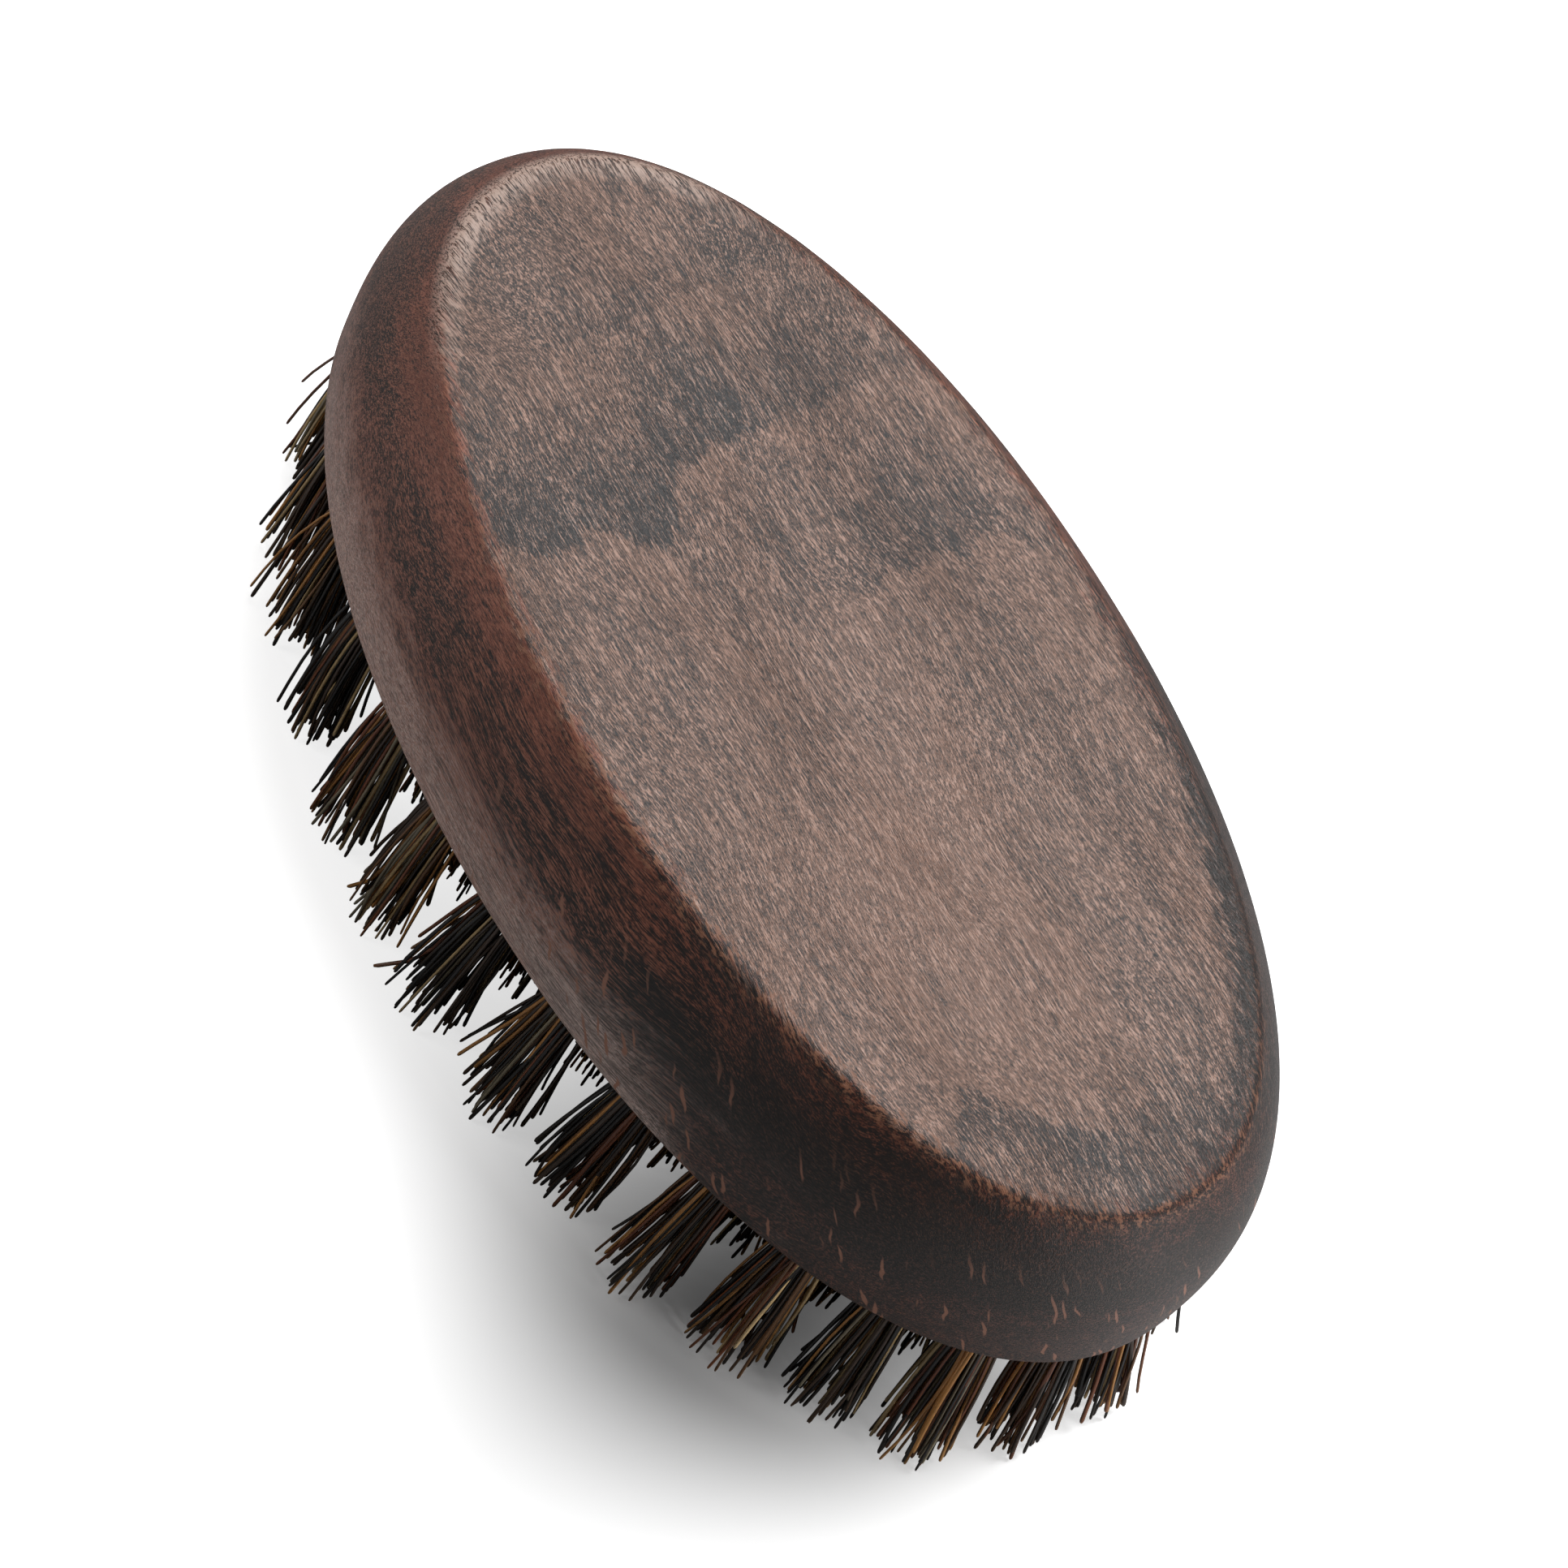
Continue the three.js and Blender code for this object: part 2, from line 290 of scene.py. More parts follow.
class Material:
    """A node material whose patterns are read in millimetres of the piece's own place."""

    def __init__(self, name):
        self.material = bpy.data.materials.new(name)
        self.material.use_nodes = True
        self.nodes = self.material.node_tree.nodes
        self.links = self.material.node_tree.links
        self.shader = self.nodes["Principled BSDF"]
        place = self.nodes.new("ShaderNodeTexCoord").outputs["Object"]
        self.place = self.scaled(place, (1 / METRES,) * 3)

    def feed(self, socket, value):
        if isinstance(value, bpy.types.NodeSocket):
            self.links.new(value, socket)
        else:
            socket.default_value = value

    def scaled(self, vector, factors):
        node = self.nodes.new("ShaderNodeVectorMath")
        node.operation = "MULTIPLY"
        self.feed(node.inputs[0], vector)
        node.inputs[1].default_value = factors
        return node.outputs[0]

    def moved(self, vector, amount, along):
        """The vector pushed by a value along a fixed direction."""
        node = self.nodes.new("ShaderNodeVectorMath")
        node.operation = "MULTIPLY_ADD"
        self.feed(node.inputs[0], amount)
        node.inputs[1].default_value = along
        self.feed(node.inputs[2], vector)
        return node.outputs[0]

    def axis(self, vector, name):
        node = self.nodes.new("ShaderNodeSeparateXYZ")
        self.feed(node.inputs[0], vector)
        return node.outputs[name]

    def attribute(self, name, output):
        node = self.nodes.new("ShaderNodeAttribute")
        node.attribute_name = name
        return node.outputs[output]

    def noise(self, vector, grain, detail=2.0, roughness=0.5):
        """Noise whose grains are that many millimetres long in X, Y and Z."""
        node = self.nodes.new("ShaderNodeTexNoise")
        self.feed(node.inputs["Vector"], self.scaled(vector, [1 / size for size in grain]))
        node.inputs["Scale"].default_value = 1.0
        node.inputs["Detail"].default_value = detail
        node.inputs["Roughness"].default_value = roughness
        return node.outputs["Fac"]

    def cells(self, vector, grain, output="Distance"):
        node = self.nodes.new("ShaderNodeTexVoronoi")
        self.feed(node.inputs["Vector"], self.scaled(vector, [1 / size for size in grain]))
        node.inputs["Scale"].default_value = 1.0
        return node.outputs[output]

    def math(self, operation, first, second=0.0, clamp=False):
        node = self.nodes.new("ShaderNodeMath")
        node.operation = operation
        node.use_clamp = clamp
        self.feed(node.inputs[0], first)
        self.feed(node.inputs[1], second)
        return node.outputs[0]

    def fit(self, value, low, high, to_low=0.0, to_high=1.0, smooth=True):
        """The value's range from low to high, fitted to another range and held at its ends."""
        node = self.nodes.new("ShaderNodeMapRange")
        node.interpolation_type = "SMOOTHSTEP" if smooth else "LINEAR"
        self.feed(node.inputs["Value"], value)
        for name, number in (("From Min", low), ("From Max", high), ("To Min", to_low), ("To Max", to_high)):
            node.inputs[name].default_value = number
        return node.outputs["Result"]

    def swing(self, value, low, high):
        """Noise, most of which lies within NOISE_SPAN, turned into an amount from low to high."""
        return self.fit(value, *NOISE_SPAN, low, high)

    def between(self, value, rising, falling):
        """1 between the rising stretch and the falling one, which is given backwards."""
        return self.math("MULTIPLY", self.fit(value, *rising), self.fit(value, *falling))

    def total(self, values, clamp=False):
        """The sum. Only the last step is clamped to 0 to 1."""
        *others, last = values
        if not others:
            return last
        return self.math("ADD", self.total(others), last, clamp)

    def product(self, values):
        result = values[0]
        for value in values[1:]:
            result = self.math("MULTIPLY", result, value)
        return result

    def mix(self, share, first, second, blend="MIX"):
        node = self.nodes.new("ShaderNodeMix")
        node.data_type = "RGBA"
        node.blend_type = blend
        self.feed(node.inputs[0], share)
        self.feed(node.inputs[6], first)
        self.feed(node.inputs[7], second)
        return node.outputs[2]

    def either(self, share, first, second):
        """The first shader where the share is 0 and the second where it is 1."""
        node = self.nodes.new("ShaderNodeMixShader")
        for socket, value in zip(node.inputs, (share, first, second)):
            self.feed(socket, value)
        return node.outputs[0]

    def bell(self, value, middle, spread):
        """1 where the value is at the middle, falling to a third within the spread."""
        offset = self.math("DIVIDE", self.math("SUBTRACT", value, middle), spread)
        return self.math("EXPONENT", self.math("MULTIPLY", self.math("MULTIPLY", offset, offset), -1.0))

    def bump(self, height, distance):
        node = self.nodes.new("ShaderNodeBump")
        node.inputs["Strength"].default_value = 1.0
        node.inputs["Distance"].default_value = distance * METRES
        self.feed(node.inputs["Height"], height)
        self.feed(self.shader.inputs["Normal"], node.outputs[0])


def rgb(red, green, blue):
    return (red, green, blue, 1.0)


# Materials


class StainedWood(Material):
    """Dark-stained beech. Its grain runs along X and wanders a little across it."""

    def __init__(self):
        super().__init__("stained_beech")
        self.x, self.y, self.z = (self.axis(self.place, name) for name in "XYZ")
        self.from_arris = self.attribute("from_arris", "Fac")
        wander = self.noise(self.place, (26, 15, 15), detail=1)
        self.grain = self.moved(self.place, self.math("SUBTRACT", wander, 0.5), (0, 7, 7))
        long_dashes = self.noise(self.grain, (3.4, 0.17, 0.17), detail=2, roughness=0.7)
        short_dashes = self.noise(self.grain, (1.0, 0.09, 0.09), detail=2, roughness=0.8)
        self.dashes = self.fit(self.math("ADD", long_dashes, short_dashes), 0.82, 1.18, smooth=False)
        self.fibres = self.noise(self.grain, (0.5, 0.055, 0.055), detail=1)
        self.streaks = self.noise(self.grain, (14, 0.9, 0.9), detail=3, roughness=0.6)
        self.specks = self.noise(self.place, (0.16, 0.11, 0.11), detail=1)
        self.clouds = self.noise(self.grain, (22, 7, 7), detail=3, roughness=0.6)
        self.bare = self.fit(self.math("ADD", self.dashes, self.swing(self.fibres, -0.3, 0.3)), 0.34, 0.06)
        self.near_end = self.fit(self.math("ADD", self.x, self.swing(self.clouds, -7.0, 7.0)), *NEAR_END_X)
        self.under_arris = self.between(self.from_arris, *UNDER_ARRIS)

    def coloured(self, share, under, name):
        """The colour underneath, with that share of a named wood colour over it."""
        return self.mix(share, under, rgb(*WOOD_COLOURS[name]))

    def growth_layers(self):
        """How dark the growth layers make the top. Each fades away from its line on one side."""
        scallops = self.noise(self.place, (30, 3.0, 12), detail=1)
        scallops = self.fit(scallops, 0.2, 0.8, -1.1, 1.1, smooth=False)
        teeth = self.noise(self.grain, (2.4, 0.45, 3), detail=3, roughness=0.65)
        teeth = self.fit(teeth, 0.25, 0.75, -0.9, 0.9, smooth=False)
        ragged = self.math("ADD", scallops, teeth)
        layers = []
        for line in GROWTH_LINES:
            bulges = [self.math("MULTIPLY", self.bell(self.y, *b["y"]), b["reach"]) for b in line["bulges"]]
            edge = self.total([line["x"], *bulges])
            beyond = self.math("MULTIPLY", self.math("SUBTRACT", self.x, edge), line["dark_side"])
            beyond = self.math("ADD", beyond, ragged)
            fading = self.fit(beyond, 0.0, line["fade"], 1.0, 0.0)
            crisp = self.fit(beyond, 0.0, GROWTH_EDGE)
            layers.append(self.product([fading, crisp, self.bell(self.y, *line["y"]), line["strength"]]))
        return self.total(layers)

    def face(self):
        """The palm side: layers, patches and vessels of dark stain, a paler patch of palm wear and painted
        sheen, and bare wood between the dashes.
        """
        # One of these patches lightens the top: palm wear with a painted sheen.
        patches = [
            self.product([self.bell(self.x, *patch["x"]), self.bell(self.y, *patch["y"]), patch["darker"]])
            for patch in STAIN_AND_SHEEN_PATCHES
        ]
        marks = [
            self.fit(self.dashes, 0.0, 1.0, 0.0, 0.70, smooth=False),
            self.swing(self.streaks, -0.10, 0.12),
            self.swing(self.clouds, -0.14, 0.15),
            self.swing(self.fibres, -0.40, 0.40),
            self.swing(self.specks, -0.20, 0.20),
        ]
        dark = self.total([self.growth_layers(), *patches, *marks], clamp=True)
        face = self.coloured(dark, rgb(*WOOD_COLOURS["top"]), "top_stain")
        bare = self.math("MULTIPLY", self.bare, self.fit(dark, 0.0, 0.6, 0.80, 0.22))
        return self.coloured(bare, face, "bare_top")

    def wall(self):
        """The side took more stain and is darker round the near end, and a band below the arris is painted
        shade.
        """
        wavy = self.noise(self.place, (16, 16, 6), detail=2)
        height = self.math("ADD", self.z, self.swing(wavy, -1.6, 1.6))
        stain = [
            # Painted shade: a dark band below the arris.
            self.math("MULTIPLY", self.between(height, *PAINTED_SHADE_BAND_HEIGHTS), 0.42),
            self.math("MULTIPLY", self.near_end, 0.84),
            self.fit(self.x, *FAR_END_STAIN_X, 0.0, 0.26),
            self.fit(self.y, *FAR_SIDE_STAIN_Y, 0.0, 0.40),
            self.fit(self.dashes, 0, 1, -0.26, 0.76, smooth=False),
            self.swing(self.fibres, -0.30, 0.30),
            self.swing(self.specks, -0.16, 0.16),
            self.swing(self.streaks, -0.22, 0.22),
        ]
        wall = self.coloured(self.total(stain, clamp=True), rgb(*WOOD_COLOURS["wall"]), "wall_stain_and_shade")
        # The pale rim: wear with a painted sheen over it.
        wall = self.coloured(self.rim_wear_and_sheen(), wall, "rubbed_rim_and_sheen")
        wall = self.coloured(self.redness(), wall, "red")
        bare = [
            self.bare,
            self.fit(self.near_end, 0, 1, 0.62, 0.12),
            self.fit(self.under_arris, 0, 1, 1.0, 0.55),
        ]
        wall = self.coloured(self.product(bare), wall, "bare_wall")
        return self.coloured(self.ray_flecks(), wall, "ray")

    def rim_wear_and_sheen(self):
        """The lower edge is rubbed pale and carries a painted sheen, except at both ends."""
        height = self.math("ADD", self.z, self.swing(self.streaks, -1.2, 1.2))
        along = self.math("ADD", self.x, self.swing(self.clouds, -5.0, 5.0))
        near_end, far_end = RIM_X
        wear = [
            self.fit(height, *RIM_WEAR_AND_SHEEN_HEIGHTS),
            self.fit(along, *near_end, 0.02, 0.95),
            self.fit(along, *far_end, 0.25, 1.0),
            self.fit(self.dashes, 0, 1, 1.0, 0.25),
            self.fit(self.math("ADD", self.fibres, self.specks), 0.7, 1.3, 0.45, 1.25),
        ]
        return self.product(wear)

    def redness(self):
        """Red-brown patches just under the arris, fainter at the near end and on the far side."""
        patches = self.noise(self.place, (12, 12, 2.6), detail=3, roughness=0.6)
        redness = [
            self.under_arris,
            self.fit(patches, 0.40, 0.60),
            self.fit(self.math("ADD", self.dashes, self.streaks), 0.75, 1.25, 0.95, 0.05),
            self.fit(self.near_end, 0.0, 1.0, 1.0, 0.40),
            self.fit(self.y, *FAINTER_RED_Y, 1.0, 0.35),
        ]
        return self.product(redness)

    def ray_flecks(self):
        """Short steep flecks where the wall cuts across the grain, most of all round the near end."""
        across = self.math("DIVIDE", self.y, HALF_WIDTH)
        along = self.math("DIVIDE", self.x, HALF_LENGTH)
        round_wall = self.math("MULTIPLY", self.math("ARCTAN2", across, along), RAY_WRAP)
        slanted = self.math("ADD", round_wall, self.math("MULTIPLY", self.z, RAY_SLANT))
        unrolled = self.nodes.new("ShaderNodeCombineXYZ")
        self.feed(unrolled.inputs["X"], slanted)
        self.feed(unrolled.inputs["Z"], self.z)
        place = self.moved(unrolled.outputs[0], self.noise(self.place, (2.5, 2.5, 2.5)), (1.4, 0.0, 1.2))
        flecks = [
            self.fit(self.cells(place, RAY_CELL), 0.31, 0.18),
            self.fit(self.axis(self.cells(place, RAY_CELL, "Color"), "X"), 0.43, 0.46),
            self.fit(self.x, *RAY_X, 0.15, 0.95),
            self.fit(self.z, *RAY_HEIGHTS),
        ]
        return self.product(flecks)

    def on_top(self):
        """1 on the lighter top. Its edge is ragged, and the near end's far side keeps a brown margin."""
        ragged = self.swing(self.noise(self.grain, (2.2, 0.5, 0.5), detail=2, roughness=0.6), -0.9, 0.9)
        margin = self.math("MULTIPLY", self.fit(self.x, *MARGIN_X, 0.0, 1.9), self.fit(self.y, *MARGIN_Y))
        inward = self.math("SUBTRACT", self.math("ADD", self.from_arris, ragged), margin)
        return self.fit(inward, *TOP_FROM_ARRIS)

    def rubbed_arris(self):
        """Where the arris is rubbed back to warm wood, most at the near end."""
        spots = self.noise(self.grain, (0.9, 0.3, 0.3), detail=3, roughness=0.65)
        towards = self.math("SUBTRACT", self.math("MULTIPLY", self.x, 0.5), self.y)
        edge = self.between(self.from_arris, *RUBBED_ARRIS)
        return self.product([edge, self.fit(spots, 0.50, 0.62), self.fit(towards, *RUB_REACH, 0.15, 0.9)])

    def worn_and_highlit_arris(self):
        """Where the far end's arris is rubbed paler and carries a painted highlight, in dashes."""
        edge = self.between(self.from_arris, *ARRIS_WEAR_AND_HIGHLIGHT)
        at_far_end = self.fit(self.x, *ARRIS_WEAR_AND_HIGHLIGHT_X, 0.0, 0.9)
        return self.product([edge, self.fit(self.dashes, 0.85, 0.35), at_far_end])

    def finished(self):
        colour = self.mix(self.on_top(), self.wall(), self.face())
        colour = self.coloured(self.rubbed_arris(), colour, "rubbed_arris")
        # Wear and a painted highlight on the far end's arris.
        colour = self.coloured(self.worn_and_highlit_arris(), colour, "worn_and_highlit_arris")
        self.feed(self.shader.inputs["Base Color"], colour)
        rough = self.fit(self.dashes, 0, 1, 0.46, 0.56)
        rough = self.math("ADD", rough, self.swing(self.specks, -0.04, 0.04))
        self.feed(self.shader.inputs["Roughness"], rough)
        raised = self.fit(self.dashes, 0, 1, 1.0, 0.0, smooth=False)
        self.bump(self.math("ADD", raised, self.math("ADD", self.specks, self.fibres)), WOOD_BUMP)
        return self.material


def boar_bristle():
    made = Material("boar_bristle")
    hair = made.attribute("hair_colour", "Color")
    mottle = made.noise(made.place, (0.5, 0.5, 1.6), detail=3, roughness=0.6)
    shade = made.mix(1.0, hair, made.mix(mottle, rgb(0.62, 0.60, 0.58), rgb(1.35, 1.30, 1.20)), "MULTIPLY")
    made.feed(made.shader.inputs["Base Color"], shade)
    made.feed(made.shader.inputs["Roughness"], made.fit(mottle, 0.3, 0.7, 0.34, 0.50))
    scales = made.noise(made.place, (0.25, 0.25, 0.12), detail=1)
    made.bump(scales, 0.012)
    return made.material


def brass_wire():
    made = Material("brass_wire")
    tarnish = made.noise(made.place, (0.8, 0.8, 0.8), detail=3)
    drawn = made.noise(made.place, (0.08, 0.08, 2.0), detail=1)
    colour = made.mix(made.fit(tarnish, 0.35, 0.65), rgb(0.62, 0.46, 0.20), rgb(0.34, 0.22, 0.10))
    made.feed(made.shader.inputs["Base Color"], colour)
    made.shader.inputs["Metallic"].default_value = 1.0
    made.feed(made.shader.inputs["Roughness"], made.fit(tarnish, 0.3, 0.7, 0.28, 0.5))
    made.bump(drawn, 0.01)
    return made.material


def pale_floor():
    """White to the camera, grey to the object, so as not to wash out its dark stain, and clear from below."""
    made = Material("pale_floor")
    x, y = made.axis(made.place, "X"), made.axis(made.place, "Y")
    paper = made.noise(made.place, (40, 40, 40), detail=2)
    white = made.mix(paper, rgb(0.84, 0.84, 0.84), rgb(0.87, 0.87, 0.87))
    made.feed(made.shader.inputs["Base Color"], white)
    made.shader.inputs["Roughness"].default_value = 0.9
    made.shader.inputs["Specular IOR Level"].default_value = 0.0
    made.shader.inputs["Emission Color"].default_value = rgb(1, 1, 1)
    # A painted shadow: the glow is lower where the shade falls.
    shade = made.math("MULTIPLY", made.bell(x, *FLOOR_PAINTED_SHADOW["x"]), made.bell(y, *FLOOR_PAINTED_SHADOW["y"]))
    made.feed(made.shader.inputs["Emission Strength"], made.fit(shade, 0.0, 1.0, *FLOOR_GLOW, smooth=False))
    # Painted light: to the object the floor is paler behind it, where the lit floor would be.
    along_x, along_y = BEHIND_ALONG
    behind = made.math("ADD", made.math("MULTIPLY", x, along_x), made.math("MULTIPLY", y, along_y))
    lighter = made.fit(behind, *BEHIND_REACH)
    grey = made.nodes.new("ShaderNodeBsdfDiffuse")
    made.feed(grey.inputs["Color"], made.mix(lighter, rgb(*FLOOR_GREY["front"]), rgb(*FLOOR_GREY["behind"])))
    clear = made.nodes.new("ShaderNodeBsdfTransparent")
    seen = made.nodes.new("ShaderNodeLightPath").outputs["Is Camera Ray"]
    below = made.nodes.new("ShaderNodeNewGeometry").outputs["Backfacing"]
    above = made.either(seen, grey.outputs[0], made.shader.outputs[0])
    whole = made.either(below, above, clear.outputs[0])
    made.feed(made.nodes["Material Output"].inputs["Surface"], whole)
    return made.material


# Pieces


def add_piece(name, points, faces, material, stands_for):
    """A smooth-shaded mesh, from points in millimetres, that rides on the brush and stands for CAD nodes."""
    mesh = bpy.data.meshes.new(name)
    mesh.from_pydata((np.asarray(points) * METRES).tolist(), [], faces)
    mesh.polygons.foreach_set("use_smooth", [True] * len(mesh.polygons))
    mesh.materials.append(material)
    piece = bpy.data.objects.new(name, mesh)
    bpy.context.scene.collection.objects.link(piece)
    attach(piece, "root")
    if stands_for:
        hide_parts(*stands_for)
    return piece


def places_of(mesh):
    """The mesh's points in millimetres."""
    flat = np.empty(len(mesh.vertices) * 3)
    mesh.vertices.foreach_get("co", flat)
    return flat.reshape(-1, 3) / METRES


# Tuft layout


def ring_places(ring):
    """Each tuft's (x, y) at its hole's mouth and the way the ring faces there, in radians."""
    long, short = HALF_LENGTH - ring["inset"], HALF_WIDTH - ring["inset"]
    turns = np.linspace(0, 1, ARC_DIVISIONS + 1)
    oval = np.stack([long * np.cos(2 * math.pi * turns), short * np.sin(2 * math.pi * turns)], 1)
    walked = np.concatenate([[0], np.cumsum(np.linalg.norm(np.diff(oval, axis=0), axis=1))])
    share = (np.arange(ring["tufts"]) + ring["phase"]) / ring["tufts"]
    even = np.interp(share * walked[-1], walked, turns)
    turn = 2 * math.pi * (ring["crowding"] * share + (1 - ring["crowding"]) * even)
    x, y = long * np.cos(turn), short * np.sin(turn)
    return list(zip(x, y, np.arctan2(y / short**2, x / long**2)))


def centre_row_places():
    middle = (CENTRE_ROW_TUFTS - 1) / 2
    return [(CENTRE_ROW_PITCH * (index - middle), 0.0, 0.0) for index in range(CENTRE_ROW_TUFTS)]


def tuft_axes(place, splay):
    """(mouth, outward, sideways, towards the tips) for one tuft."""
    x, y, facing = place
    lean = math.radians(splay)
    level = np.array([math.cos(facing), math.sin(facing), 0.0])
    down = np.array([0.0, 0.0, -1.0])
    towards_tips = level * math.sin(lean) + down * math.cos(lean)
    outward = level * math.cos(lean) - down * math.sin(lean)
    return np.array([x, y, UNDERSIDE]), outward, np.cross(towards_tips, outward), towards_tips


def cad_node_of(ring, index):
    if ring in ("outer", "second"):
        name = {"outer": "outer_tuft", "second": "second_ring_tuft"}[ring]
        return f"{name}_{index + 1:02d}"
    if ring == "third":
        return "third_ring_tufts_left" if index < RINGS["third"]["tufts"] / 2 else "third_ring_tufts_right"
    return "centre_row_tufts"


def all_tufts():
    """Every tuft as {ring, index, place, splay}."""
    tufts = []
    for name, ring in RINGS.items():
        for index, place in enumerate(ring_places(ring)):
            tufts.append({"ring": name, "index": index, "place": place, "splay": ring["splay"]})
    for index, place in enumerate(centre_row_places()):
        tufts.append({"ring": "centre", "index": index, "place": place, "splay": 0.0})
    return tufts


# Block


def outline(inset):
    """Points of the oval that far inside the block's widest outline."""
    turn = np.linspace(0, 2 * math.pi, OUTLINE_POINTS, endpoint=False)
    cosine, sine = np.cos(turn), np.sin(turn)
    x = (HALF_LENGTH - inset) * np.sign(cosine) * np.abs(cosine) ** (2 / OUTLINE_POWER)
    y = (HALF_WIDTH - inset) * np.sign(sine) * np.abs(sine) ** (2 / OUTLINE_POWER)
    return np.stack([x, y], 1)


def wall_inset(rise):
    if rise < WIDEST_RISE:
        return RIM_INSET * (1 - rise / WIDEST_RISE) ** 2
    climbed = (rise - WIDEST_RISE) / (TOP - UNDERSIDE - WIDEST_RISE)
    return SHOULDER_INSET * climbed**SHOULDER_POWER


def rounded(start, corner, end, steps):
    """A smooth turn from start to end, drawn towards the corner."""
    start, corner, end = np.array(start), np.array(corner), np.array(end)
    shares = np.linspace(0, 1, steps + 1)[:, None]
    return (1 - shares) ** 2 * start + 2 * shares * (1 - shares) * corner + shares**2 * end


def block_profile():
    """(inset, height above the underside) from the underside's edge, up the wall and in across the top."""
    height = TOP - UNDERSIDE
    rim_end = (wall_inset(RIM_SOFTENING), RIM_SOFTENING)
    rim = rounded((RIM_INSET + RIM_SOFTENING, 0), (RIM_INSET, 0), rim_end, RIM_STEPS)
    wall_top = height - ARRIS_DROP
    climb = np.sin(np.linspace(0, math.pi / 2, WALL_STEPS + 1)[1:])
    wall = [(wall_inset(r), r) for r in RIM_SOFTENING + (wall_top - RIM_SOFTENING) * climb]
    slope = (wall_inset(wall_top) - wall_inset(wall_top - ARRIS_DROP)) / ARRIS_DROP
    corner = (wall_inset(wall_top) + slope * ARRIS_DROP, height)
    arris_end = (corner[0] + ARRIS_DROP * math.hypot(1, slope), height)
    arris = rounded(wall[-1], corner, arris_end, ARRIS_STEPS)[1:]
    inward = np.linspace(0, 1, TOP_STEPS + 1)[1:] ** 2
    top = [(arris_end[0] + (HALF_WIDTH - arris_end[0]) * share, height) for share in inward]
    return np.concatenate([rim, wall, arris, top])


def rings_to_faces(rings, points):
    """Quads between neighbouring rings of points."""
    faces = []
    for ring in range(rings - 1):
        for point in range(points):
            after = (point + 1) % points
            here, above = ring * points, (ring + 1) * points
            faces.append((here + point, here + after, above + after, above + point))
    return faces


def hole_cutter(tufts):
    """One mesh with a plug for every tuft hole."""
    points, faces = [], []
    turn = np.linspace(0, 2 * math.pi, HOLE_SIDES, endpoint=False)
    for tuft in tufts:
        mouth, outward, sideways, towards_tips = tuft_axes(tuft["place"], tuft["splay"])
        circle = HOLE_RADIUS * (np.outer(np.cos(turn), outward) + np.outer(np.sin(turn), sideways))
        first = len(points)
        points.extend(mouth + towards_tips * HOLE_OVERCUT + circle)
        points.extend(mouth - towards_tips * HOLE_DEPTH + circle)
        faces.extend([tuple(first + i for i in face) for face in rings_to_faces(2, HOLE_SIDES)])
        faces.append(tuple(range(first + HOLE_SIDES - 1, first - 1, -1)))
        faces.append(tuple(range(first + HOLE_SIDES, first + 2 * HOLE_SIDES)))
    mesh = bpy.data.meshes.new("tuft_holes")
    mesh.from_pydata((np.array(points) * METRES).tolist(), [], faces)
    tidy = bmesh.new()
    tidy.from_mesh(mesh)
    bmesh.ops.recalc_face_normals(tidy, faces=tidy.faces)
    tidy.to_mesh(mesh)
    tidy.free()
    cutter = bpy.data.objects.new("tuft_holes", mesh)
    bpy.context.scene.collection.objects.link(cutter)
    return cutter


def cut_holes(block, tufts):
    cutter = hole_cutter(tufts)
    cut = block.modifiers.new("holes", "BOOLEAN")
    cut.object = cutter
    cut.solver = "EXACT"
    shown = block.evaluated_get(bpy.context.evaluated_depsgraph_get())
    drilled = bpy.data.meshes.new_from_object(shown)
    block.modifiers.clear()
    block.data = drilled
    bpy.data.objects.remove(cutter)


def inset_of(points):
    """How far inside the widest outline each point is, by halving."""
    low = np.zeros(len(points))
    high = np.full(len(points), HALF_WIDTH - TINY)
    for _ in range(HALVINGS):
        middle = (low + high) / 2
        size = (np.abs(points[:, 0]) / (HALF_LENGTH - middle)) ** OUTLINE_POWER
        size += (np.abs(points[:, 1]) / (HALF_WIDTH - middle)) ** OUTLINE_POWER
        low, high = np.where(size < 1, middle, low), np.where(size < 1, high, middle)
    return low


def store_from_arris(mesh):
    """Distance from the arris in millimetres: positive on the top, negative down the wall."""
    points = places_of(mesh)
    inward = inset_of(points) - SHOULDER_INSET
    drop = TOP - points[:, 2]
    distance = np.where(drop < ARRIS_DROP * (inward > 0), inward, -np.hypot(inward, drop))
    made = mesh.attributes.new("from_arris", "FLOAT", "POINT")
    made.data.foreach_set("value", distance)


def wear_edges(points):
    """Points near the arris sink and rise a little, as on a hand-sanded and much handled edge."""
    inward = inset_of(points) - SHOULDER_INSET
    near = np.exp(-(np.hypot(inward, TOP - points[:, 2]) / WEAR_REACH) ** 2)
    long_wave, short_wave = WEAR_WAVES
    wobble = []
    for point in map(Vector, points):
        ripple = noise.noise(point / short_wave + Vector(SHORT_WAVE_SHIFT))
        wobble.append(noise.noise(point / long_wave) + SHORT_WAVE_SHARE * ripple)
    towards_middle = points - np.array([0, 0, (TOP + UNDERSIDE) / 2])
    towards_middle /= np.linalg.norm(towards_middle, axis=1)[:, None]
    return points - towards_middle * (near * (WEAR_EVERYWHERE + np.array(wobble)) * WEAR_DEPTH)[:, None]


